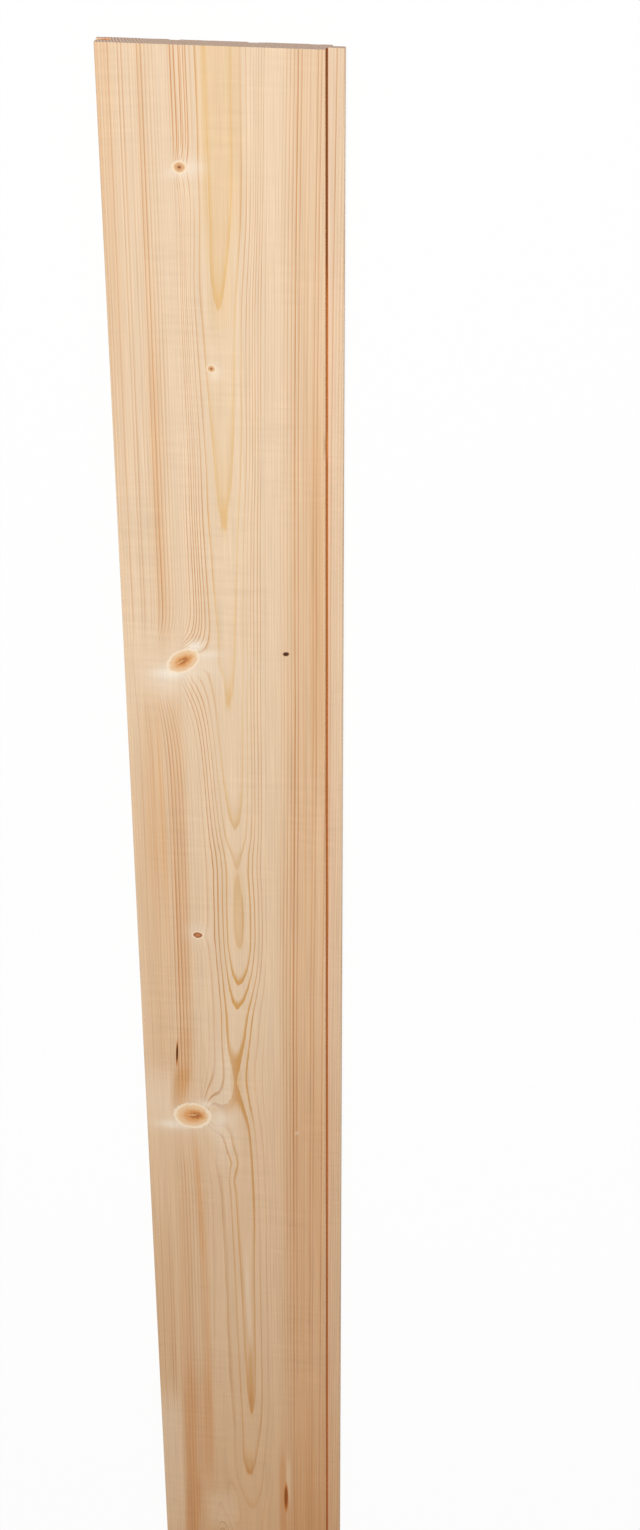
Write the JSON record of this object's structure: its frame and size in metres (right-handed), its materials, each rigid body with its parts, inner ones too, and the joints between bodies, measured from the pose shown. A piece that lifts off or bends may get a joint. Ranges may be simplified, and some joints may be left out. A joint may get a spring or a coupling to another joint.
{
  "type": "tongue and groove board",
  "caption": "Planed softwood panel board with a tongue along one edge, a groove along the other, a set-back face shoulder for a shadow gap, and shallow relief channels in its back.",
  "frame": {"origin": "middle of the back, under the middle of the board's length and overall width", "axes": "+X along the length, +Y across the width towards the tongue, +Z from the back to the face"},
  "size_m": [2, 0.146, 0.0125],
  "materials": {
    "planed_spruce": "planed, unfinished"
  },
  "bodies": {
    "root": {"board": "planed_spruce"}
  },
  "joints": []
}
